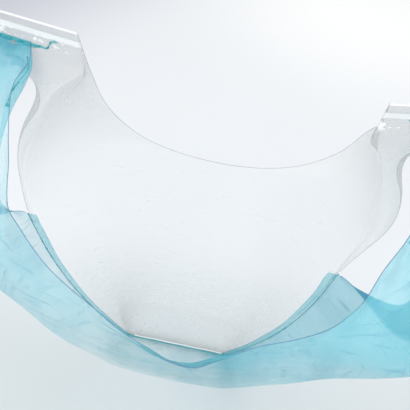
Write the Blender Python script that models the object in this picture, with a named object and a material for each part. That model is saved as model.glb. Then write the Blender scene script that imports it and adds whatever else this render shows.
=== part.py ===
# A vest carrier bag of two sheets of film, welded along both sides, the bottom and the tops of
# its handles, in the open shape that it has when both handles are pulled apart.
# Metres, +Z up. The bag stands on its flattened bottom at z = 0 with the middle of its outer
# box over the origin. X runs along the bottom seam and the front sheet bulges towards -Y.
# The sizes below are measured from the middle of the bottom seam.

import bpy
import numpy as np
from mathutils import Matrix

# film and weld
FILM = 0.0003                # thickness of each sheet
SHEET_GAP = 0.0003           # clear space between the sheets where they are welded
SEAM_ALLOWANCE = 0.009       # film past the weld, turned into the bag
SEAM_WELD_DROP = 0.010       # the side welds end this far below the seam tops

# side seams and bottom
SEAM_SPAN = 0.300            # between the tops of the two side seams
SEAM_TOP_HEIGHT = 0.293
BOTTOM_SEAM_LENGTH = 0.150   # straight stretch of the weld on the floor
SEAM_CORNER_POWER = 2.5      # how fast the seam opens out above the floor

# the flattened bottom
FLOOR_LENGTH = 0.196
FRONT_FLOOR_DEPTH = 0.052
BACK_FLOOR_DEPTH = 0.068
FLOOR_CORNER_LIFT = 0.012    # rise of the seam at the corners of the floor

# body width and depth at four heights, from the bottom up
LEVEL_SHARES = (0.188, 0.444, 0.700, 0.894)   # of the seam tops' height
BODY_WIDTHS = (0.262, 0.312, 0.338, 0.350)
FRONT_DEPTHS = (0.058, 0.070, 0.076, 0.084)
BACK_DEPTHS = (0.074, 0.088, 0.098, 0.102)
FRONT_RIGHT_WING = (0.044, -0.026)   # the front sheet's right side is pulled out and forwards
FRONT_MIDDLE_WING = (0.0, -0.024)    # and its middle forwards, under the mouth

# mouth
FRONT_DIP_DROP = 0.007       # lowest point of the front sheet's cut edge, under the seam tops
FRONT_REACH = 0.110          # how far the front edge stands off the seams
BACK_REACH = 0.100

# handles
HANDLE_LENGTH = 0.132        # from the seam tops up to the top of the back sheet's strips
HANDLE_WIDTH = 0.095         # width of the back sheet's strips where they are welded
FRONT_STRIP_INSET = 0.052    # the front sheet's strips start this far out from the inner corner
FRONT_STRIP_DROP = 0.022     # and end this far below the back sheet's
LEFT_HANDLE_INNER = (-0.110, 0.090)
RIGHT_HANDLE_INNER = (0.143, 0.066)
HANDLE_TURN_RATIO = 0.20     # slope of the handle tops in plan, rise in y for each x outwards
WELD_BAND = 0.016            # flat film on either side of the handle weld, half of it each way

# Outer edges of the strips between the seam tops and the handle tops, as offsets in metres
# from the seam top, at the shoulder and just under the weld.
FRONT_LEFT_SHOULDER = (0.025, -0.032, 0.010)
FRONT_RIGHT_SHOULDER = (0.054, -0.087, 0.010)
BACK_LEFT_SHOULDER = (0.031, 0.056, 0.028)
BACK_RIGHT_SHOULDER = (0.050, 0.046, 0.034)
FRONT_LEFT_NECK = (0.050, 0.028, 0.090)
FRONT_RIGHT_NECK = (0.075, 0.020, 0.082)
BACK_LEFT_NECK = (-0.005, 0.084, 0.067)
BACK_RIGHT_NECK = (0.018, 0.080, 0.076)

# Cut edge of each sheet's mouth from the left handle to the right one, in shares: x of half the
# seam span, y of the reach, and z of the way from the dip to the handle top.
FRONT_EDGE_SHARES = (
    (-1.045, 0.80, 0.80), (-1.06, 0.50, 0.74), (-1.02, 0.20, 0.59), (-0.985, 0.00, 0.46),
    (-0.985, -0.13, 0.33), (-0.98, -0.20, 0.23), (-0.91, -0.28, 0.14), (-0.65, -0.55, 0.10),
    (-0.36, -0.75, 0.07),
    (-0.10, -0.91, 0.04), (0.10, -1.00, 0.02), (0.24, -1.00, 0.00), (0.38, -0.89, 0.00),
    (0.55, -0.77, 0.02), (0.72, -0.69, 0.05), (0.91, -0.57, 0.10), (1.03, -0.43, 0.20),
    (1.13, -0.18, 0.33), (1.22, 0.03, 0.50), (1.26, 0.33, 0.68), (1.23, 0.56, 0.79))
BACK_EDGE_SHARES = (
    (-0.71, 0.95, 0.72), (-0.64, 0.965, 0.43), (-0.44, 0.99, 0.18), (-0.22, 0.99, 0.08),
    (0.00, 1.00, 0.03), (0.26, 1.03, 0.00), (0.49, 1.08, 0.00), (0.71, 1.14, 0.05),
    (0.94, 1.15, 0.27), (1.02, 1.11, 0.50), (1.02, 0.86, 0.76))

# half of the section through the body, from the middle of a sheet to the seam: share of the
# columns, share of the body's half width, share of the depth
SECTION_SHARES = (
    (0.0, 0.0, 1.0), (0.2, 0.37, 0.985), (0.4, 0.72, 0.93), (0.55, 0.92, 0.78),
    (0.7, 1.0, 0.52), (0.85, 0.96, 0.22), (1.0, 0.0, 0.0))

# where the forms start and end, as shares of the columns on one side or of the rows
HANDLE_SHARE = 0.25          # columns that end in a handle top
SEAM_BLEND_SHARE = 0.30      # columns that bend to the side seam
SEAM_LIFT_SHARE = 0.40       # columns that rise with the seam at the floor's corners
STRIP_PULL_SHARE = 0.50      # columns that the strips' outer edges pull
MOUTH_BLEND_SHARE = 0.55     # columns that follow the mouth's cut edge
CORNER_BLEND_SHARE = 0.15    # columns beside a handle top that follow its weld rows
RIGHT_WING_SHARES = (0.68, 0.32)     # middle and half width of the wings, in columns
MIDDLE_WING_SHARES = (0.05, 0.45)
FLOOR_ROW_SHARES = (0.55, 1.0)
STRIP_ROW_SHARES = (0.42, 0.68)
WELD_ROW_SHARES = (0.50, 0.80)

# heights that follow from the ones above
FRONT_DIP_HEIGHT = SEAM_TOP_HEIGHT - FRONT_DIP_DROP
BACK_DIP_HEIGHT = SEAM_TOP_HEIGHT
HANDLE_TOP_HEIGHT = SEAM_TOP_HEIGHT + HANDLE_LENGTH

BODY_COLUMNS = 28
HANDLE_COLUMNS = 8
ROWS = 24

FRONT_COLOUR = (0.42, 0.70, 0.80, 0.6)
BACK_COLOUR = (0.86, 0.90, 0.92, 0.35)


def clearScene():
    for item in list(bpy.data.objects):
        bpy.data.objects.remove(item, do_unlink=True)


def smoothStep(share):
    """Eases from 0 to 1 as the share does."""
    share = np.clip(share, 0, 1)
    return share**2 * (3 - 2 * share)


def smoothCurve(places, points, where):
    """Cubic curve through points at the given places, with slopes from their neighbours."""
    places = np.asarray(places, float)
    points = np.asarray(points, float)
    slopes = np.gradient(points, places, axis=0)
    left = np.clip(np.searchsorted(places, where, side="right") - 1, 0, len(places) - 2)
    step = places[left + 1] - places[left]
    k = ((where - places[left]) / step)[:, None]
    step = step[:, None]
    start = (2 * k**3 - 3 * k**2 + 1) * points[left] + (k**3 - 2 * k**2 + k) * step * slopes[left]
    end = (3 * k**2 - 2 * k**3) * points[left + 1] + (k**3 - k**2) * step * slopes[left + 1]
    return start + end


def loftWeights(count, where):
    """Weights of a clamped quadratic B-spline over count control rows."""
    knots = np.concatenate([[0, 0], np.linspace(0, 1, count - 1), [1, 1]])
    where = np.clip(where, 0, 1 - 1e-12)[:, None]
    basis = ((where >= knots[:-1]) & (where < knots[1:])).astype(float)
    for degree in (1, 2):
        span = knots[degree:] - knots[:-degree]
        safe = np.where(span > 0, span, 1)
        rising = np.where(span > 0, (where - knots[:-degree]) / safe, 0)
        falling = np.where(span > 0, 1 - rising, 0)
        basis = rising[:, :-1] * basis[:, :-1] + falling[:, 1:] * basis[:, 1:]
    return basis


def seamPoint(height):
    """Half distance between the side seams at a height."""
    share = np.clip(height / SEAM_TOP_HEIGHT, 0, 1)
    start = BOTTOM_SEAM_LENGTH / 2
    return start + (SEAM_SPAN / 2 - start) * (1 - (1 - share)**SEAM_CORNER_POWER)


def bodyRow(columns, side, height, seamHeight, width, depth):
    """One section of the body, from the left seam to the right one."""
    table = np.array(SECTION_SHARES)
    across, out = smoothCurve(table[:, 0], table[:, 1:], np.abs(columns)).T
    fromSeam = 1 - np.abs(columns)
    nearSeam = smoothStep(1 - fromSeam / SEAM_BLEND_SHARE)
    across = np.where(nearSeam > 0, 1, across)
    x = np.sign(columns) * (across * (1 - nearSeam) * width / 2 + nearSeam * seamPoint(seamHeight))
    y = side * depth * np.clip(out, 0, None)
    lift = np.clip(1 - fromSeam / SEAM_LIFT_SHARE, 0, 1)
    z = height + (seamHeight - height) * lift**2
    return np.stack([x, y, z], axis=1)


def handleTop(columns, side, drop):
    """Straight top of a sheet's strip on each side, a drop below its free edge."""
    front = side < 0
    start = FRONT_STRIP_INSET if front else 0
    height = HANDLE_TOP_HEIGHT - (FRONT_STRIP_DROP if front else 0)
    share = np.clip((np.abs(columns) - (1 - HANDLE_SHARE)) / HANDLE_SHARE, 0, 1)
    inner = np.where(columns[:, None] < 0, LEFT_HANDLE_INNER, RIGHT_HANDLE_INNER)
    reach = (start + (HANDLE_WIDTH - start) * share) / np.sqrt(1 + HANDLE_TURN_RATIO**2)
    x = inner[:, 0] + np.sign(columns) * reach
    y = inner[:, 1] + HANDLE_TURN_RATIO * reach
    return np.stack([x, y, np.full(len(x), height - drop)], axis=1)


def edgeRow(columns, side, edge, dip, reach):
    """Top boundary of a sheet: strip top, cut edge of the mouth, strip top."""
    rise = HANDLE_TOP_HEIGHT - dip
    points = [(x * SEAM_SPAN / 2, y * reach, dip + share * rise) for x, y, share in edge]
    ends = handleTop(np.array([-(1 - HANDLE_SHARE), 1 - HANDLE_SHARE]), side, 0)
    points = np.vstack([ends[0], points, ends[1]])
    lengths = np.concatenate([[0], np.cumsum(np.linalg.norm(np.diff(points, axis=0), axis=1))])
    places = (1 - HANDLE_SHARE) * (2 * lengths / lengths[-1] - 1)
    mouth = smoothCurve(places, points, np.clip(columns, places[0], places[-1]))
    onHandle = np.abs(columns) >= 1 - HANDLE_SHARE
    return np.where(onHandle[:, None], handleTop(columns, side, 0), mouth)


def wingPull(columns, shares, pull):
    """How far each column of the front sheet is pulled out and forwards at the seam tops' height."""
    middle, half = shares
    near = np.clip(1 - ((columns - middle) / half)**2, 0, 1)**2
    return near[:, None] * np.array(pull + (0.0,))


def stripRow(columns, below, above, share, left, right):
    """A row between two others, with its ends at the strips' outer edges."""
    row = below + (above - below) * share
    pull = np.clip(1 - (1 - np.abs(columns)) / STRIP_PULL_SHARE, 0, 1)[:, None]**2
    outer = np.where(columns[:, None] < 0, left, right)
    ends = np.stack([np.sign(columns) * (SEAM_SPAN / 2 + outer[:, 0]), outer[:, 1],
                     SEAM_TOP_HEIGHT + outer[:, 2]], axis=1)
    return row + (ends - row) * pull


def sheetSurface(side, columns, rows):
    """Middle surface of one sheet on a grid, side -1 for the front and 1 for the back."""
    front = side < 0
    floorDepth = FRONT_FLOOR_DEPTH if front else BACK_FLOOR_DEPTH
    depths = FRONT_DEPTHS if front else BACK_DEPTHS
    edgeShares = FRONT_EDGE_SHARES if front else BACK_EDGE_SHARES
    dip = FRONT_DIP_HEIGHT if front else BACK_DIP_HEIGHT
    reach = FRONT_REACH if front else BACK_REACH
    shoulders = (BACK_LEFT_SHOULDER, BACK_RIGHT_SHOULDER)
    necks = (BACK_LEFT_NECK, BACK_RIGHT_NECK)
    if front:
        shoulders = (FRONT_LEFT_SHOULDER, FRONT_RIGHT_SHOULDER)
        necks = (FRONT_LEFT_NECK, FRONT_RIGHT_NECK)

    floor = FILM / 2
    control = [np.stack([columns * BOTTOM_SEAM_LENGTH / 2, 0 * columns, 0 * columns + floor], axis=1)]
    for share in FLOOR_ROW_SHARES:
        width = BOTTOM_SEAM_LENGTH + (FLOOR_LENGTH - BOTTOM_SEAM_LENGTH) * share
        seamHeight = floor + FLOOR_CORNER_LIFT * share
        control.append(bodyRow(columns, side, floor, seamHeight, width, floorDepth * share))
    wing = 0
    if front:
        wing = wingPull(columns, RIGHT_WING_SHARES, FRONT_RIGHT_WING)
        wing = wing + wingPull(columns, MIDDLE_WING_SHARES, FRONT_MIDDLE_WING)
    levels = SEAM_TOP_HEIGHT * np.array(LEVEL_SHARES)
    for height, width, depth in zip(levels, BODY_WIDTHS, depths):
        row = bodyRow(columns, side, height, height, width, depth)
        control.append(row + wing * (height / SEAM_TOP_HEIGHT)**2)

    top = bodyRow(columns, side, SEAM_TOP_HEIGHT, SEAM_TOP_HEIGHT, BODY_WIDTHS[-1], depths[-1]) + wing
    edge = edgeRow(columns, side, edgeShares, dip, reach)
    middle = smoothStep(1 - np.abs(columns) / MOUTH_BLEND_SHARE)[:, None]
    seamTop = top + (edge - top) * middle / 2
    control.append(seamTop)
    for share, left, right in zip(STRIP_ROW_SHARES, *zip(shoulders, necks)):
        control.append(stripRow(columns, seamTop, edge, share, left, right))

    # two flat rows on each strip carry the handle weld and fade into the mouth beside it
    beside = 1 + (np.abs(columns) - (1 - HANDLE_SHARE)) / CORNER_BLEND_SHARE
    climb = np.clip((edge[:, 2] - SEAM_TOP_HEIGHT) / HANDLE_LENGTH, 0, 1)
    climb = np.where(np.abs(columns) >= 1 - HANDLE_SHARE, 1, climb)
    band = WELD_BAND / 2 if front else FRONT_STRIP_DROP + WELD_BAND
    neck = control[-1]
    for share, drop in zip(WELD_ROW_SHARES, (band, band / 2)):
        under = edge - np.stack([0 * columns, 0 * columns, drop * climb], axis=1)
        free = neck + (edge - neck) * share
        control.append(free + (under - free) * smoothStep(beside)[:, None])
    control.append(edge)
    grid = np.einsum("rk,kcx->rcx", loftWeights(len(control), rows), np.array(control))
    grid[..., 1] += side * (SHEET_GAP + FILM) / 2
    return grid


def addSheet(name, side, colour):
    """Builds one sheet: the grid, its seam allowance round three sides, and the film's thickness."""
    mouth = np.linspace(-(1 - HANDLE_SHARE), 1 - HANDLE_SHARE, BODY_COLUMNS + 1)
    outer = np.linspace(1 - HANDLE_SHARE, 1, HANDLE_COLUMNS + 1)[1:]
    columns = np.concatenate([-outer[::-1], mouth, outer])
    rows = np.linspace(0, 1, ROWS + 1)
    grid = sheetSurface(side, columns, rows)
    rowCount, columnCount = grid.shape[:2]
    index = np.arange(rowCount * columnCount).reshape(rowCount, columnCount)
    quads = np.stack([index[:-1, :-1], index[:-1, 1:], index[1:, 1:], index[1:, :-1]], axis=-1)
    quads = quads.reshape(-1, 4)

    # the allowance follows the seam down the left side, along the bottom and up the right side
    seamRows = int(np.sum(grid[:, 0, 2] <= SEAM_TOP_HEIGHT - SEAM_WELD_DROP))
    path = np.concatenate([index[:seamRows, 0][::-1], index[0, 1:-1], index[:seamRows, -1]])
    line = grid.reshape(-1, 3)[path]
    along = np.gradient(line[:, [0, 2]], axis=0)
    along /= np.linalg.norm(along, axis=1)[:, None]
    inward = np.stack([-along[:, 1], 0 * along[:, 0], along[:, 0]], axis=1)
    free = line + inward * SEAM_ALLOWANCE
    freeIndex = np.arange(len(path)) + grid.shape[0] * grid.shape[1]
    band = np.stack([path[:-1], freeIndex[:-1], freeIndex[1:], path[1:]], axis=-1)

    vertices = np.vstack([grid.reshape(-1, 3), free])
    faces = np.vstack([quads, band])
    mesh = bpy.data.meshes.new(name)
    mesh.from_pydata(vertices.tolist(), [], faces.tolist())
    mesh.update()
    sheet = bpy.data.objects.new(name, mesh)
    bpy.context.scene.collection.objects.link(sheet)
    mesh.shade_smooth()
    thickness = sheet.modifiers.new("film", "SOLIDIFY")
    thickness.thickness = FILM
    thickness.offset = 0
    material = bpy.data.materials.new(name + "_film")
    material.use_nodes = True
    shader = material.node_tree.nodes["Principled BSDF"]
    shader.inputs["Base Color"].default_value = colour[:3] + (1.0,)
    shader.inputs["Alpha"].default_value = colour[3]
    shader.inputs["Roughness"].default_value = 0.25
    mesh.materials.append(material)
    return sheet


def centreOverOrigin(sheets):
    """Moves the sheets together so that their common box is centred in plan."""
    points = np.array([vertex.co for sheet in sheets for vertex in sheet.data.vertices])
    middle = (points.min(axis=0) + points.max(axis=0)) / 2
    for sheet in sheets:
        sheet.data.transform(Matrix.Translation((-middle[0], -middle[1], 0)))


clearScene()
frontSheet = addSheet("front_sheet", -1, FRONT_COLOUR)
backSheet = addSheet("back_sheet", 1, BACK_COLOUR)
centreOverOrigin([frontSheet, backSheet])
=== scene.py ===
import bpy
import numpy as np
from mathutils import Matrix


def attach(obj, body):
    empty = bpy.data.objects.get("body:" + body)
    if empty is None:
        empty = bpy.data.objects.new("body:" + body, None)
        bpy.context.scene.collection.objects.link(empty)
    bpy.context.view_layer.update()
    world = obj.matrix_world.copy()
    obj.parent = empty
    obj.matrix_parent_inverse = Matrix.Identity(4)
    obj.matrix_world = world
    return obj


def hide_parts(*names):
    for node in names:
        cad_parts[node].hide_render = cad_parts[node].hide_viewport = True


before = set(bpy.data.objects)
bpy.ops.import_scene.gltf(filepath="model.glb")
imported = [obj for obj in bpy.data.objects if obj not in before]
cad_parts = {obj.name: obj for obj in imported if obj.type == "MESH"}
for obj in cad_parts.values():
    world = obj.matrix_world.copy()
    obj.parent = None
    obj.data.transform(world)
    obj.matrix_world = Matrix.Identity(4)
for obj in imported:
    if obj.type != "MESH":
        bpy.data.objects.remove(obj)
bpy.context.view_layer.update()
print("frame loaded")

# Sizes of the bag in metres, measured from the middle of the bottom seam. They are those of the
# solids, except that the film is a little thinner. A sheet's columns run over c from -1 to 1 and its
# rows over v from 0 at the bottom seam to 1 at the cut edge.
bag = {
    "seamSpan": 0.300, "seamTop": 0.293, "bottomSeam": 0.150, "cornerPower": 2.5,
    "allowance": 0.009, "weldTop": 0.283, "sheetGap": 0.0006, "film": 0.00025,
    "floorLength": 0.196, "cornerLift": 0.012, "floorRows": (0.55, 1.0), "base": 0.00015,
    "levels": (0.188, 0.444, 0.700, 0.894), "widths": (0.262, 0.312, 0.338, 0.350),
    "seamBlend": 0.30, "seamLift": 0.40, "stripPull": 0.50, "mouthBlend": 0.55, "cornerBlend": 0.15,
    "stripRows": (0.42, 0.68), "weldRows": ((0.5, 1.0), (0.8, 0.5)),
    "handleTop": 0.425, "handleWidth": 0.095, "handleShare": 0.25, "turn": 0.20,
    "leftInner": (-0.110, 0.090), "rightInner": (0.143, 0.066),
    "section": ((0.0, 0.0, 1.0), (0.2, 0.37, 0.985), (0.4, 0.72, 0.93), (0.55, 0.92, 0.78),
                (0.7, 1.0, 0.52), (0.85, 0.96, 0.22), (1.0, 0.0, 0.0)),
}
bagCentre = np.array([0.0165, 0.0023, 0.0])      # middle of the bag's box, from that same point

frontFilm = {
    "side": -1, "floorDepth": 0.052, "depths": (0.058, 0.070, 0.076, 0.084),
    "wings": (((0.68, 0.32), (0.044, -0.026, 0.0)), ((0.05, 0.45), (0.0, -0.024, 0.0))),
    "dip": 0.286, "reach": 0.110, "inset": 0.052, "drop": 0.022, "band": 0.008,
    "edge": ((-1.045, 0.80, 0.80), (-1.06, 0.50, 0.74), (-1.02, 0.20, 0.59), (-0.985, 0.00, 0.46),
             (-0.985, -0.13, 0.33), (-0.98, -0.20, 0.23), (-0.91, -0.28, 0.14), (-0.65, -0.55, 0.10),
             (-0.36, -0.75, 0.07), (-0.10, -0.91, 0.04), (0.10, -1.00, 0.02), (0.24, -1.00, 0.00),
             (0.38, -0.89, 0.00), (0.55, -0.77, 0.02), (0.72, -0.69, 0.05), (0.91, -0.57, 0.10),
             (1.03, -0.43, 0.20), (1.13, -0.18, 0.33), (1.22, 0.03, 0.50), (1.26, 0.33, 0.68),
             (1.23, 0.56, 0.79)),
    "shoulders": ((0.025, -0.032, 0.010), (0.054, -0.087, 0.010)),
    "necks": ((0.050, 0.028, 0.090), (0.075, 0.020, 0.082)),
}

backFilm = {
    "side": 1, "floorDepth": 0.068, "depths": (0.074, 0.088, 0.098, 0.102), "wings": (),
    "dip": 0.293, "reach": 0.100, "inset": 0.0, "drop": 0.0, "band": 0.038,
    "edge": ((-0.71, 0.95, 0.72), (-0.64, 0.965, 0.43), (-0.44, 0.99, 0.18), (-0.22, 0.99, 0.08),
             (0.00, 1.00, 0.03), (0.26, 1.03, 0.00), (0.49, 1.08, 0.00), (0.71, 1.14, 0.05),
             (0.94, 1.15, 0.27), (1.02, 1.11, 0.50), (1.02, 0.86, 0.76)),
    "shoulders": ((0.031, 0.056, 0.028), (0.050, 0.046, 0.034)),
    "necks": ((-0.005, 0.084, 0.067), (0.018, 0.080, 0.076)),
}


def smoothStep(x):
    # 3x^2 - 2x^3 between 0 and 1
    x = np.clip(x, 0, 1)
    return x * x * (3 - 2 * x)


def smoothCurve(places, points, where):
    # cubic between neighbouring points, with slopes from the points on either side
    places = np.asarray(places, float)
    points = np.asarray(points, float)
    slopes = np.gradient(points, places, axis=0)
    left = np.clip(np.searchsorted(places, where, side="right") - 1, 0, len(places) - 2)
    step = (places[left + 1] - places[left])[:, None]
    k = (where - places[left])[:, None] / step
    start = (2 * k**3 - 3 * k**2 + 1) * points[left] + (k**3 - 2 * k**2 + k) * step * slopes[left]
    end = (3 * k**2 - 2 * k**3) * points[left + 1] + (k**3 - k**2) * step * slopes[left + 1]
    return start + end


def loftWeights(count, where):
    # weights of a clamped quadratic B-spline over count rows of control points
    knots = np.concatenate([[0, 0], np.linspace(0, 1, count - 1), [1, 1]])
    where = np.clip(where, 0, 1 - 1e-12)[:, None]
    basis = ((where >= knots[:-1]) & (where < knots[1:])).astype(float)
    for degree in (1, 2):
        span = knots[degree:] - knots[:-degree]
        rising = np.where(span > 0, (where - knots[:-degree]) / np.where(span > 0, span, 1), 0)
        falling = np.where(span > 0, 1 - rising, 0)
        basis = rising[:, :-1] * basis[:, :-1] + falling[:, 1:] * basis[:, 1:]
    return basis


def seamHalf(height):
    # half distance between the side seams: opens from the bottom seam as 1 - (1 - h)^power
    share = np.clip(height / bag["seamTop"], 0, 1)
    start = bag["bottomSeam"] / 2
    return start + (bag["seamSpan"] / 2 - start) * (1 - (1 - share)**bag["cornerPower"])


def bodyRow(c, side, height, seamHeight, width, depth):
    # one section of the body, c from -1 at the left seam to 1 at the right one
    table = np.array(bag["section"])
    across, out = smoothCurve(table[:, 0], table[:, 1:], np.abs(c)).T
    toSeam = 1 - np.abs(c)
    near = smoothStep(1 - toSeam / bag["seamBlend"])
    across = np.where(near > 0, 1, across)
    x = np.sign(c) * (across * (1 - near) * width / 2 + near * seamHalf(seamHeight))
    y = side * depth * np.clip(out, 0, None)
    z = height + (seamHeight - height) * np.clip(1 - toSeam / bag["seamLift"], 0, 1)**2
    return np.stack([x, y, z], axis=1)


def handleTop(c, film, drop):
    # straight top of a strip: inner corner plus its width times the share, a drop below its free edge
    share = np.clip((np.abs(c) - 1 + bag["handleShare"]) / bag["handleShare"], 0, 1)
    inner = np.where((c < 0)[:, None], bag["leftInner"], bag["rightInner"])
    reach = (film["inset"] + (bag["handleWidth"] - film["inset"]) * share) / np.sqrt(1 + bag["turn"]**2)
    return np.stack([inner[:, 0] + np.sign(c) * reach, inner[:, 1] + bag["turn"] * reach,
                     np.full(len(c), bag["handleTop"] - film["drop"] - drop)], axis=1)


def edgeRow(c, film):
    # strip top, cut edge of the mouth, strip top
    inside = 1 - bag["handleShare"]
    rise = bag["handleTop"] - film["dip"]
    points = [(x * bag["seamSpan"] / 2, y * film["reach"], film["dip"] + share * rise)
              for x, y, share in film["edge"]]
    ends = handleTop(np.array([-inside, inside]), film, 0)
    points = np.vstack([ends[0], points, ends[1]])
    lengths = np.concatenate([[0], np.cumsum(np.linalg.norm(np.diff(points, axis=0), axis=1))])
    places = inside * (2 * lengths / lengths[-1] - 1)
    mouth = smoothCurve(places, points, np.clip(c, places[0], places[-1]))
    return np.where((np.abs(c) >= inside)[:, None], handleTop(c, film, 0), mouth)


def stripRow(c, below, above, share, outer):
    # part of the way from one row to another, pulled to the strips' outer edges as the square of c
    row = below + (above - below) * share
    pull = np.clip(1 - (1 - np.abs(c)) / bag["stripPull"], 0, 1)[:, None]**2
    ends = np.where((c < 0)[:, None], outer[0], outer[1])
    ends = np.stack([np.sign(c) * (bag["seamSpan"] / 2 + ends[:, 0]), ends[:, 1],
                     bag["seamTop"] + ends[:, 2]], axis=1)
    return row + (ends - row) * pull


def filmSurface(film, c, v):
    # B-spline loft over rows: bottom seam, floor, body, seam top, shoulder, neck, weld, cut edge
    side = film["side"]
    base = bag["base"]
    rows = [np.stack([c * bag["bottomSeam"] / 2, 0 * c, 0 * c + base], axis=1)]
    for share in bag["floorRows"]:
        width = bag["bottomSeam"] + (bag["floorLength"] - bag["bottomSeam"]) * share
        lift = bag["cornerLift"] * share
        rows.append(bodyRow(c, side, base, base + lift, width, film["floorDepth"] * share))
    # wings: columns near a middle pulled outwards and forwards, as the square of the height
    wing = np.zeros((1, 3))
    for (middle, half), pull in film["wings"]:
        wing = wing + np.clip(1 - ((c - middle) / half)**2, 0, 1)[:, None]**2 * np.array(pull)
    levels = bag["seamTop"] * np.array(bag["levels"])
    for height, width, depth in zip(levels, bag["widths"], film["depths"]):
        row = bodyRow(c, side, height, height, width, depth)
        rows.append(row + wing * (height / bag["seamTop"])**2)
    top = bodyRow(c, side, bag["seamTop"], bag["seamTop"], bag["widths"][-1], film["depths"][-1])
    top = top + wing
    edge = edgeRow(c, film)
    top = top + (edge - top) / 2 * smoothStep(1 - np.abs(c) / bag["mouthBlend"])[:, None]
    rows.append(top)
    for share, outer in zip(bag["stripRows"], (film["shoulders"], film["necks"])):
        rows.append(stripRow(c, top, edge, share, outer))
    # weld rows: under the handle top by the drop, blended into shares of the way from neck to edge
    inside = 1 - bag["handleShare"]
    nearHandle = smoothStep(1 + (np.abs(c) - inside) / bag["cornerBlend"])[:, None]
    climb = np.clip((edge[:, 2] - bag["seamTop"]) / (bag["handleTop"] - bag["seamTop"]), 0, 1)
    climb = np.where(np.abs(c) >= inside, 1, climb)
    neck = rows[-1]
    for share, bandShare in bag["weldRows"]:
        below = edge - np.stack([0 * c, 0 * c, film["band"] * bandShare * climb], axis=1)
        free = neck + (edge - neck) * share
        rows.append(free + (below - free) * nearHandle)
    rows.append(edge)
    grid = np.einsum("rk,kcx->rcx", loftWeights(len(rows), v), np.array(rows))
    grid[..., 1] += side * bag["sheetGap"] / 2
    return grid - bagCentre


class Socket:
    # wraps a node's output so that plain arithmetic adds Math nodes
    def __init__(self, tree, link):
        self.tree = tree
        self.link = link

    def math(self, operation, *others):
        node = self.tree.nodes.new("ShaderNodeMath")
        node.operation = operation
        for i, value in enumerate((self,) + others):
            plug(self.tree, node.inputs[i], value)
        return Socket(self.tree, node.outputs[0])

    def __add__(self, other): return self.math("ADD", other)
    def __radd__(self, other): return self.math("ADD", other)
    def __sub__(self, other): return self.math("SUBTRACT", other)
    def __rsub__(self, other): return (self * -1.0) + other
    def __mul__(self, other): return self.math("MULTIPLY", other)
    def __rmul__(self, other): return self.math("MULTIPLY", other)


def plug(tree, target, value):
    # links a wrapped output to a node's input, or sets the input to a plain value
    if isinstance(value, Socket):
        tree.links.new(value.link, target)
    else:
        target.default_value = value


class Material:
    # one node material: node() adds any node, its settings first and then its inputs,
    # which go by name, or by number as i1
    def __init__(self, name):
        self.data = bpy.data.materials.new(name)
        self.data.use_nodes = True
        self.tree = self.data.node_tree
        self.shader = self.tree.nodes["Principled BSDF"]

    def node(self, kind, output=0, settings=None, **inputs):
        node = self.tree.nodes.new("ShaderNode" + kind)
        for key, value in (settings or {}).items():
            setattr(node, key, value)
        for key, value in inputs.items():
            which = int(key[1:]) if key[1:].isdigit() else key.replace("_", " ")
            plug(self.tree, node.inputs[which], value)
        return Socket(self.tree, node.outputs[output])

    def ramp(self, value, low, high):
        return self.node("MapRange", settings={"interpolation_type": "SMOOTHSTEP"}, Value=value,
                         From_Min=low, From_Max=high)

    def mix(self, factor, first, second):
        node = self.tree.nodes.new("ShaderNodeMix")
        node.data_type = "RGBA"
        for i, value in ((0, factor), (6, first), (7, second)):
            plug(self.tree, node.inputs[i], value)
        return Socket(self.tree, node.outputs[2])

    def put(self, **inputs):
        for key, value in inputs.items():
            plug(self.tree, self.shader.inputs[key.replace("_", " ")], value)


def addMesh(name, vertices, faces, smooth=True):
    # mesh object from an array of vertices and the faces' vertex numbers
    mesh = bpy.data.meshes.new(name)
    mesh.from_pydata(vertices.tolist(), [], [list(face) for face in faces])
    mesh.update()
    piece = bpy.data.objects.new(name, mesh)
    bpy.context.scene.collection.objects.link(piece)
    if smooth:
        mesh.shade_smooth()
    return piece


def sweep(name, line, radius, sides=8):
    # round bead: a circle of the given radii carried along the line, with closed ends
    line = np.asarray(line, float)
    radius = np.broadcast_to(radius, (len(line),))
    along = np.gradient(line, axis=0)
    along /= np.linalg.norm(along, axis=1)[:, None]
    steep = np.abs(along[:, 2:3]) > 0.9
    upright = np.where(steep, np.array([[0.0, 1.0, 0.0]]), np.array([[0.0, 0.0, 1.0]]))
    across = np.cross(along, upright)
    across /= np.linalg.norm(across, axis=1)[:, None]
    other = np.cross(across, along)
    angle = np.linspace(0, 2 * np.pi, sides, endpoint=False)
    circle = (np.cos(angle)[None, :, None] * across[:, None]
              + np.sin(angle)[None, :, None] * other[:, None])
    ring = line[:, None] + radius[:, None, None] * circle
    count = len(line)
    index = np.arange(count * sides).reshape(count, sides)
    turned = np.roll(index, -1, axis=1)
    quads = np.stack([index[:-1], turned[:-1], turned[1:], index[1:]], axis=-1).reshape(-1, 4)
    return addMesh(name, ring.reshape(-1, 3), quads.tolist() + [index[0][::-1], index[-1]])


def waves(c, v, table):
    # sum of depth * sin(2 pi (across * c + up * v) + start) over the rows of the table
    total = 0
    for depth, across, up, start in table:
        total = total + depth * np.sin(2 * np.pi * (across * c + up * v) + start)
    return total


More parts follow.
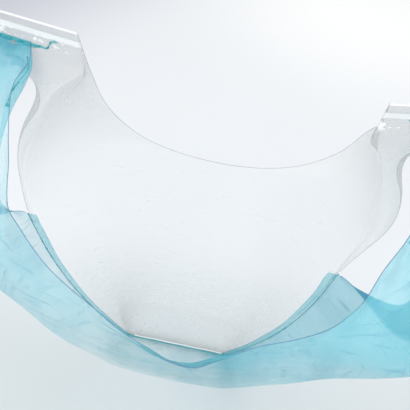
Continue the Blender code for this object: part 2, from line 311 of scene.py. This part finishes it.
def buildFilm(name, film, folds, stripCount=30, mouthCount=150, rowCount=150):
    # grid of the loft, moved along its normals by the folds, with the seam allowance on three sides;
    # the film carries c and v as the attributes across and up, which are 2 and -1 on the allowance
    inside = 1 - bag["handleShare"]
    outer = np.linspace(inside, 1, stripCount + 1)[1:]
    c = np.concatenate([-outer[::-1], np.linspace(-inside, inside, mouthCount + 1), outer])
    v = np.linspace(0, 1, rowCount + 1)
    grid = filmSurface(film, c, v)
    alongC = np.gradient(grid, axis=1)
    alongV = np.gradient(grid, axis=0)
    normal = np.cross(alongC, alongV)
    normal /= np.maximum(np.linalg.norm(normal, axis=2), 1e-12)[..., None]
    cc, vv = np.meshgrid(c, v)
    grid = grid + normal * folds(cc, vv)[..., None]
    index = np.arange(grid.shape[0] * grid.shape[1]).reshape(grid.shape[:2])
    quads = np.stack([index[:-1, :-1], index[:-1, 1:], index[1:, 1:], index[1:, :-1]], axis=-1)
    quads = quads.reshape(-1, 4)
    seamRows = int(np.sum(grid[:, 0, 2] <= bag["weldTop"]))
    path = np.concatenate([index[:seamRows, 0][::-1], index[0, 1:-1], index[:seamRows, -1]])
    line = grid.reshape(-1, 3)[path]
    flat = np.gradient(line[:, [0, 2]], axis=0)
    flat /= np.linalg.norm(flat, axis=1)[:, None]
    inward = np.stack([-flat[:, 1], 0 * flat[:, 0], flat[:, 0]], axis=1)
    bands = []
    vertices = [grid.reshape(-1, 3)]
    previous = path
    for step in (1, 2, 3):
        ripple = 0.0004 * np.sin(np.arange(len(path)) * 0.35 + step) * (step / 3)
        free = line + inward * (bag["allowance"] * step / 3 + ripple[:, None])
        current = np.arange(len(path)) + sum(len(part) for part in vertices)
        vertices.append(free)
        bands.append(np.stack([previous[:-1], current[:-1], current[1:], previous[1:]], axis=-1))
        previous = current
    piece = addMesh(name, np.vstack(vertices), np.vstack([quads] + bands))
    thickness = piece.modifiers.new("film", "SOLIDIFY")
    thickness.thickness = bag["film"]
    thickness.offset = 0
    across = np.concatenate([cc.ravel()] + [np.full(len(path), 2.0)] * 3)
    up = np.concatenate([vv.ravel()] + [np.full(len(path), -1.0)] * 3)
    for key, values in (("across", across), ("up", up)):
        layer = piece.data.attributes.new(key, "FLOAT", "POINT")
        layer.data.foreach_set("value", values.astype(np.float32))
    return piece, c, grid, line


def frontFolds(c, v):
    # soft tension folds that grow towards the handles, none along the seams
    free = smoothStep((1 - np.abs(c)) / 0.2) * smoothStep(v / 0.2)
    strip = smoothStep((np.abs(c) - 0.25) / 0.35) * smoothStep((v - 0.35) / 0.5)
    strip = strip * (1 - smoothStep((v - 0.9) / 0.1))
    body = smoothStep((v - 0.15) / 0.3) * (1 - smoothStep((v - 0.8) / 0.2))
    stripTable = ((0.0016, 6.0, 1.0, 0.5), (0.0009, 11.0, -2.0, 1.2))
    bodyTable = ((0.0012, 2.2, 1.5, 0.3), (0.0007, 5.0, -2.5, 2.0), (0.0004, 9.0, 4.0, 1.0))
    return free * (strip * waves(c, v, stripTable) + body * waves(c, v, bodyTable))


def backFolds(c, v):
    # very shallow swells over the clear sheet, sharper creases near the bottom
    free = smoothStep((1 - np.abs(c)) / 0.2) * smoothStep(v / 0.15)
    body = smoothStep((v - 0.1) / 0.3) * (1 - smoothStep((v - 0.85) / 0.15))
    low = smoothStep((v - 0.12) / 0.08) * (1 - smoothStep((v - 0.3) / 0.2))
    return free * (body * waves(c, v, ((0.0010, 1.4, 1.2, 0.8), (0.0005, 3.5, -2.0, 2.0)))
                   + low * waves(c, v, ((0.0006, 9.0, 3.0, 0.2), (0.0004, 15.0, -6.0, 1.0))))


def blueMaterial():
    # translucent blue film: clouds, long soft creases, deeper on the right side, on the strips and
    # in a line inside the strips' outer edges; more opaque at the strips' tops as painted shade, and
    # more see-through low down as painted light
    look = {"pale": (0.27, 0.76, 0.86, 1), "deep": (0.07, 0.47, 0.62, 1),
            "crease": (0.03, 0.35, 0.54, 1), "alpha": 0.16, "deepAlpha": 0.14, "creaseAlpha": 0.22,
            "stripAlpha": 0.34, "rightAlpha": 0.18, "lowAlpha": 0.09, "flapAlpha": 0.30,
            "topShadeAlpha": 0.22}
    m = Material("blueFilm")
    place = m.node("TexCoord", 3)
    across = m.node("Attribute", 2, settings={"attribute_name": "across"})
    up = m.node("Attribute", 2, settings={"attribute_name": "up"})
    cloud = m.node("TexNoise", 0, Vector=place, Scale=11.0, Detail=4.0, Roughness=0.6)
    sheet = m.node("CombineXYZ", 0, X=across * 7.0, Y=up * 55.0, Z=0.0)
    streak = m.node("TexNoise", 0, Vector=sheet, Scale=1.0, Detail=5.0, Roughness=0.65, Distortion=0.6)
    fine = m.node("TexNoise", 0, Vector=place, Scale=260.0, Detail=2.0, Roughness=0.6)
    side = across.math("ABSOLUTE")
    hem = m.ramp(side, 0.90, 0.95) * (1.0 - m.ramp(side, 0.985, 1.0))
    hem = hem * m.ramp(up, 0.55, 0.62) * (1.0 - m.ramp(up, 0.80, 0.88))
    strip = m.ramp(side, 0.60, 0.80) * m.ramp(up, 0.62, 0.90)
    onSheet = 1.0 - m.ramp(side, 1.2, 1.4)
    rightStrip = m.ramp(across, 0.25, 0.45) * onSheet * m.ramp(up, 0.50, 0.72)
    right = m.ramp(across, 0.30, 0.85) * onSheet
    # painted light: the film is more see-through low down, so it renders paler there
    low = 1.0 - m.ramp(up, 0.15, 0.35)
    # painted shade: the film is more opaque, so darker, at the strips' tops
    top = m.ramp(side, 0.70, 0.80) * m.ramp(up, 0.84, 0.97)
    flap = m.ramp(side, 1.4, 1.6)
    deep = (m.ramp(cloud, 0.42, 0.72) * 0.6 + strip * 0.45 + right * 0.35).math("MINIMUM", 1.0)
    crease = (m.ramp(streak, 0.56, 0.66) * 0.45 + hem * 0.9).math("MINIMUM", 1.0)
    colour = m.mix(crease, m.mix(deep, look["pale"], look["deep"]), look["crease"])
    m.put(Base_Color=m.mix(flap * 0.5, colour, look["pale"]))
    bothStrips = (strip * 0.5 + rightStrip * 0.5).math("MAXIMUM", strip)
    m.put(Alpha=deep * look["deepAlpha"] + crease * look["creaseAlpha"]
          + bothStrips * look["stripAlpha"] + right * look["rightAlpha"] - low * look["lowAlpha"]
          + flap * look["flapAlpha"] + top * look["topShadeAlpha"] + look["alpha"] - fine * 0.03)
    m.put(Roughness=m.ramp(cloud, 0.3, 0.7) * 0.15 + 0.25, IOR=1.5)
    m.put(Normal=m.node("Bump", 0, Strength=0.35, Distance=0.0008, Height=streak * 0.7 + fine * 0.1))
    return m.data


def clearMaterial():
    # clear film: almost nothing in the middle, milky streaks low down, painted grey shade towards the
    # upper sides, painted white highlights on the folds at the strip tops and in small bits below them
    look = {"film": (0.86, 0.89, 0.90, 1), "highlightWhite": (1.0, 1.0, 1.0, 1), "shade": (0.66, 0.67, 0.68, 1),
            "alpha": 0.035, "streakAlpha": 0.34, "shadeAlpha": 0.32, "highlightAlpha": 0.92}
    m = Material("clearFilm")
    place = m.node("TexCoord", 3)
    height = m.node("SeparateXYZ", 2, Vector=place)
    across = m.node("Attribute", 2, settings={"attribute_name": "across"})
    up = m.node("Attribute", 2, settings={"attribute_name": "up"})
    low = m.node("CombineXYZ", 0, X=across * 9.0, Y=up * 60.0, Z=0.0)
    streak = m.node("TexNoise", 0, Vector=low, Scale=1.0, Detail=5.0, Roughness=0.6, Distortion=1.2)
    wide = m.node("TexNoise", 0, Vector=place, Scale=9.0, Detail=3.0, Roughness=0.5)
    crumple = m.node("TexNoise", 0, Vector=place, Scale=120.0, Detail=4.0, Roughness=0.7)
    bottom = 1.0 - m.ramp(up, 0.16, 0.34)
    side = across.math("ABSOLUTE")
    shade = m.ramp(side, 0.10, 0.75) * m.ramp(up, 0.35, 0.85)
    wrinkle = m.ramp(streak, 0.47, 0.52) * (1.0 - m.ramp(streak, 0.52, 0.57))
    wrinkle = wrinkle * bottom * m.ramp(up, 0.05, 0.12)
    thread = (m.ramp(streak, 0.60, 0.68) * (bottom * 0.8 + 0.12) + wrinkle * 0.2).math("MINIMUM", 1.0)
    # painted highlights: white bands along a fold below the strip top and along the top itself, and
    # small white bits under them
    foldHighlight = m.ramp(height, 0.4095, 0.4125) * (1.0 - m.ramp(height, 0.4155, 0.4180))
    top = m.ramp(height, 0.4222, 0.4240) + foldHighlight * 0.8
    highlightBits = m.ramp(height, 0.395, 0.402) * (1.0 - m.ramp(height, 0.408, 0.414))
    highlightBits = m.ramp(crumple, 0.54, 0.62) * highlightBits
    highlightWhite = (top + highlightBits).math("MINIMUM", 1.0)
    whiter = (highlightWhite + thread).math("MINIMUM", 1.0)
    m.put(Base_Color=m.mix(whiter, m.mix(shade, look["film"], look["shade"]), look["highlightWhite"]))
    m.put(Alpha=(highlightWhite * look["highlightAlpha"] + thread * look["streakAlpha"] + shade * look["shadeAlpha"]
                 + m.ramp(wide, 0.4, 0.7) * 0.02 + look["alpha"]).math("MINIMUM", 1.0))
    m.put(Roughness=0.12, IOR=1.5)
    m.put(Normal=m.node("Bump", 0, Strength=0.4, Distance=0.0008, Height=streak * 0.6 + crumple * 0.2))
    return m.data


def weldMaterial():
    # teal weld: pale where thin, dark in small dashes and blobs
    look = {"light": (0.10, 0.60, 0.62, 1), "dark": (0.01, 0.33, 0.38, 1), "alpha": 0.65}
    m = Material("weldBead")
    place = m.node("TexCoord", 3)
    blob = m.node("TexNoise", 0, Vector=place, Scale=230.0, Detail=3.0, Roughness=0.7)
    dark = m.ramp(blob, 0.45, 0.60)
    m.put(Base_Color=m.mix(dark, look["light"], look["dark"]), Roughness=0.35)
    m.put(Alpha=dark * 0.4 + look["alpha"])
    m.put(Normal=m.node("Bump", 0, Strength=0.5, Distance=0.0004, Height=blob))
    return m.data


def edgeMaterial(name, colour, alpha):
    # cut edge of a film, a little uneven in tone
    m = Material(name)
    place = m.node("TexCoord", 3)
    tone = m.node("TexNoise", 0, Vector=place, Scale=40.0, Detail=2.0)
    darker = tuple(x * 0.7 for x in colour[:3]) + (1,)
    m.put(Base_Color=m.mix(tone, colour, darker), Roughness=0.3, Alpha=alpha)
    return m.data


def finishPiece(piece, material):
    # gives a piece its material and slot, riding on the one body
    piece.data.materials.append(material)
    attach(piece, "root")


blue = blueMaterial()
clear = clearMaterial()
weld = weldMaterial()
frontPiece, frontC, frontGrid, frontSeam = buildFilm("frontFilm", frontFilm, frontFolds)
backPiece, backC, backGrid, backSeam = buildFilm("backFilm", backFilm, backFolds)
finishPiece(frontPiece, blue)
finishPiece(backPiece, clear)
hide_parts("front_sheet")
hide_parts("back_sheet")
print("film sheets made")

welds = {"radius": 0.0005, "blob": 0.0004, "topRadius": 0.0010, "topBlob": 0.0012, "hemInset": 0.010,
         "hemRadius": 0.0004, "hemBlob": 0.0008, "hemEnd": (0.0016, 0.0020, 0.0014), "hemCount": 70,
         "topHeight": 0.401, "topStep": 0.011, "topCount": 120, "topFirst": 28, "topForward": 0.0008}


def unevenRadius(count, radius, blob, pitch):
    # radius + blob * sin^2 of the place along the weld, with a slower swell over it
    k = np.arange(count)
    return radius + blob * np.sin(k * pitch)**2 * (0.5 + 0.5 * np.sin(k * pitch * 0.37 + 1))


def hemLine(film, sign, start):
    # line inside the mouth edge: the surface at v = 1 - inset / |dP/dv|, from a start column
    # to the strip's top
    c = sign * np.linspace(start, 1 - bag["handleShare"] - 0.002, welds["hemCount"])
    step = filmSurface(film, c, np.array([0.99, 1.0]))
    length = np.linalg.norm(step[1] - step[0], axis=1) / 0.01
    v = 1 - welds["hemInset"] / length
    return np.einsum("iix->ix", filmSurface(film, c, v))


seamLine = (frontSeam + backSeam) / 2
sideWeld = sweep("seamWeld", seamLine, unevenRadius(len(seamLine), welds["radius"], welds["blob"], 0.9))
finishPiece(sideWeld, weld)
for name, sign, start in (("leftHandleWeld", -1, 0.62), ("rightHandleWeld", 1, 0.55)):
    # straight weld across the strip's top, which steps up and wavers near its inner end
    share = np.linspace(0, 1, welds["topCount"])
    c = sign * (1 - bag["handleShare"] + bag["handleShare"] * share)
    line = handleTop(c, backFilm, 0.0)
    waver = 0.0012 * np.sin(share * 47) * smoothStep((0.6 - share) / 0.3)
    line[:, 2] = welds["topHeight"] + welds["topStep"] * smoothStep((0.42 - share) / 0.2) + waver
    line[:, 1] -= welds["topForward"]
    line -= bagCentre
    radius = unevenRadius(welds["topCount"], welds["topRadius"], welds["topBlob"], 0.55)
    radius = radius * (0.45 + 0.55 * smoothStep((share - 0.3) / 0.2))
    first = welds["topFirst"]
    finishPiece(sweep(name, line[first:], radius[first:]), weld)
    hem = hemLine(frontFilm, sign, start)
    radius = unevenRadius(welds["hemCount"], welds["hemRadius"], welds["hemBlob"], 0.7)
    radius[:3] = welds["hemEnd"]
    finishPiece(sweep(name.replace("Handle", "Hem"), hem, radius), weld)
# a white bead along the allowance's free edge at the bottom: the edge is real, its white is a painted
# highlight
bottomLipHighlight = {"from": -0.062, "to": 0.070, "forward": 0.0004, "height": 0.0094, "radius": 0.0009}
lip = np.linspace(bottomLipHighlight["from"], bottomLipHighlight["to"], 60)
lipHeight = bottomLipHighlight["height"] + 0.0005 * np.sin(lip * 160)
lip = np.stack([lip, 0 * lip - bottomLipHighlight["forward"], lipHeight], axis=1) - bagCentre
finishPiece(sweep("bottomLipHighlight", lip, bottomLipHighlight["radius"], 6),
            edgeMaterial("bottomLipHighlight", (1, 1, 1, 1), 1.0))
seamFrom = int(np.sum(frontGrid[:, 0, 2] <= bag["weldTop"]))
inMouth = 1 - bag["handleShare"] + 0.001
edgeTone = {"blue": (0.16, 0.36, 0.62, 1), "paleBlue": (0.16, 0.50, 0.66, 1),
            "clear": (0.60, 0.66, 0.70, 1)}
for name, line, radius, tone, alpha, slot in (
        ("frontCutEdge", frontGrid[-1][np.abs(frontC) <= inMouth], 0.00033, "blue", 0.75, "blue_film"),
        ("frontLeftArmEdge", frontGrid[seamFrom:, 0], 0.00028, "paleBlue", 0.6, "blue_film"),
        ("frontRightArmEdge", frontGrid[seamFrom:, -1], 0.00028, "paleBlue", 0.6, "blue_film"),
        ("backCutEdge", backGrid[-1][np.abs(backC) <= inMouth], 0.00028, "clear", 0.6, "clear_film"),
        ("backLeftArmEdge", backGrid[seamFrom:, 0], 0.00025, "clear", 0.5, "clear_film"),
        ("backRightArmEdge", backGrid[seamFrom:, -1], 0.00025, "clear", 0.5, "clear_film")):
    finishPiece(sweep(name, line, radius, 6), edgeMaterial(name, edgeTone[tone], alpha))
print("welds and edges made")

# floor, lights and camera
# the floor colours near and left are painted shade, and the one placed at a point far behind the bag is
# a painted pool of light
studio = {"far": (0.84, 0.87, 0.90, 1), "left": (0.60, 0.61, 0.69, 1), "near": (0.66, 0.71, 0.73, 1),
          "paintedLightPool": (0.99, 1.0, 1.0, 1), "paintedLightPoolAt": (0.35, 1.25, 0.0), "worldStrength": 0.79,
          "lampPower": 7.0, "frontPower": 11.0, "focal": 400.0, "imageSize": 410.0, "sensor": 36,
          "pitch": 51.5, "yaw": -5.05, "roll": 6.81, "place": (0.0212, -0.2055, 0.6028)}


def addFloor():
    # pale floor with painted light: a painted pool of light far behind the bag, and painted shade
    # greying it towards the near side and the far left
    corners = np.array([(-6, -6, 0), (6, -6, 0), (6, 6, 0), (-6, 6, 0)], float)
    floor = addMesh("floor", corners, np.array([[0, 1, 2, 3]]), smooth=False)
    m = Material("paleFloor")
    place = m.node("TexCoord", 3)
    x = m.node("SeparateXYZ", 0, Vector=place)
    y = m.node("SeparateXYZ", 1, Vector=place)
    # painted shade: greyer towards the near side, and towards the far left below
    behind = m.ramp(y, -0.08, 0.20)
    leftFarShade = m.ramp(y * 0.4 - x, 0.60, 1.25)
    distance = {"operation": "DISTANCE"}
    away = m.node("VectorMath", 1, settings=distance, Vector=place, i1=studio["paintedLightPoolAt"])
    # painted pool of light round a point far behind the bag
    paintedLightPool = 1.0 - m.ramp(away, 0.10, 0.75)
    colour = m.mix(paintedLightPool, m.mix(behind, studio["near"], studio["far"]), studio["paintedLightPool"])
    m.put(Base_Color=m.mix(leftFarShade, colour, studio["left"]))
    m.put(Roughness=0.8, Specular_IOR_Level=0.2)
    floor.data.materials.append(m.data)


def addLamp(name, place, size, power, turn):
    # square area lamp
    lamp = bpy.data.lights.new(name, "AREA")
    lamp.size = size
    lamp.energy = power
    item = bpy.data.objects.new(name, lamp)
    item.location = place
    item.rotation_euler = turn
    bpy.context.scene.collection.objects.link(item)


def addCamera():
    # looks along (yaw, pitch), with its picture plane turned by the roll; lens = sensor * focal / image
    pitch, yaw, roll = (np.radians(studio[key]) for key in ("pitch", "yaw", "roll"))
    ahead = np.array([np.sin(yaw) * np.cos(pitch), np.cos(yaw) * np.cos(pitch), -np.sin(pitch)])
    right = np.array([np.cos(yaw), -np.sin(yaw), 0.0])
    up = np.cross(right, ahead)
    across = np.cos(roll) * right + np.sin(roll) * up
    above = -np.sin(roll) * right + np.cos(roll) * up
    camera = bpy.data.objects.new("camera", bpy.data.cameras.new("camera"))
    camera.data.sensor_width = studio["sensor"]
    camera.data.lens = studio["sensor"] * studio["focal"] / studio["imageSize"]
    camera.data.clip_start = 0.01
    matrix = Matrix([list(row) for row in np.stack([across, above, -ahead], axis=1)]).to_4x4()
    matrix.translation = studio["place"]
    camera.matrix_world = matrix
    bpy.context.scene.collection.objects.link(camera)
    bpy.context.scene.camera = camera


addFloor()
world = bpy.data.worlds.new("studio")
world.use_nodes = True
world.node_tree.nodes["Background"].inputs[0].default_value = (1, 1, 1, 1)
world.node_tree.nodes["Background"].inputs[1].default_value = studio["worldStrength"]
bpy.context.scene.world = world
addLamp("overhead", (0.5, 0.9, 1.8), 1.6, studio["lampPower"], (-0.45, 0.25, 0))
addLamp("front", (-0.3, -1.2, 1.3), 1.4, studio["frontPower"], (0.75, 0, 0))
addCamera()
bpy.context.scene.view_settings.view_transform = "Standard"
print("studio made")
